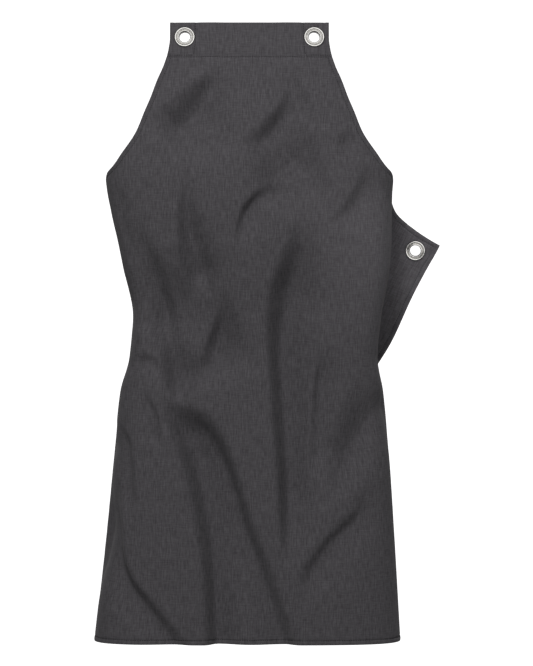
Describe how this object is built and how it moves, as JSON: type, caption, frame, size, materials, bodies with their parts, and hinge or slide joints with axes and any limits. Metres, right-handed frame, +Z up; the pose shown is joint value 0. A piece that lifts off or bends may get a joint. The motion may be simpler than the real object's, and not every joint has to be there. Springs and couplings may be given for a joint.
{
  "type": "bib apron",
  "caption": "Plain cloth bib apron in its worn form: narrow bib top, curved armholes, skirt wrapped to the back, turned hems, and metal eyelets at the bib and waist corners for straps.",
  "frame": {"origin": "midway between the two top eyelets, where a neck strap holds the apron up", "axes": "+Z up, +X to the viewer's right as seen from the front, front towards -Y"},
  "size_m": [0.4529, 0.2257, 0.7966],
  "materials": {
    "cloth": "matte plain weave with fine slubs",
    "turned_cloth": "matte plain weave",
    "eyelet_metal": "satin nickel plate"
  },
  "bodies": {
    "root": {"apron_panel": "cloth", "top_facing": "turned_cloth", "corner_patch_left": "turned_cloth", "corner_patch_right": "turned_cloth", "armhole_hem_left": "turned_cloth", "armhole_hem_right": "turned_cloth", "side_hem_left": "turned_cloth", "side_hem_right": "turned_cloth", "bottom_hem": "turned_cloth", "eyelet_top_left": "eyelet_metal", "eyelet_top_right": "eyelet_metal", "eyelet_waist_left": "eyelet_metal", "eyelet_waist_right": "eyelet_metal", "washer_top_left": "eyelet_metal", "washer_top_right": "eyelet_metal", "washer_waist_left": "eyelet_metal", "washer_waist_right": "eyelet_metal"}
  },
  "joints": []
}
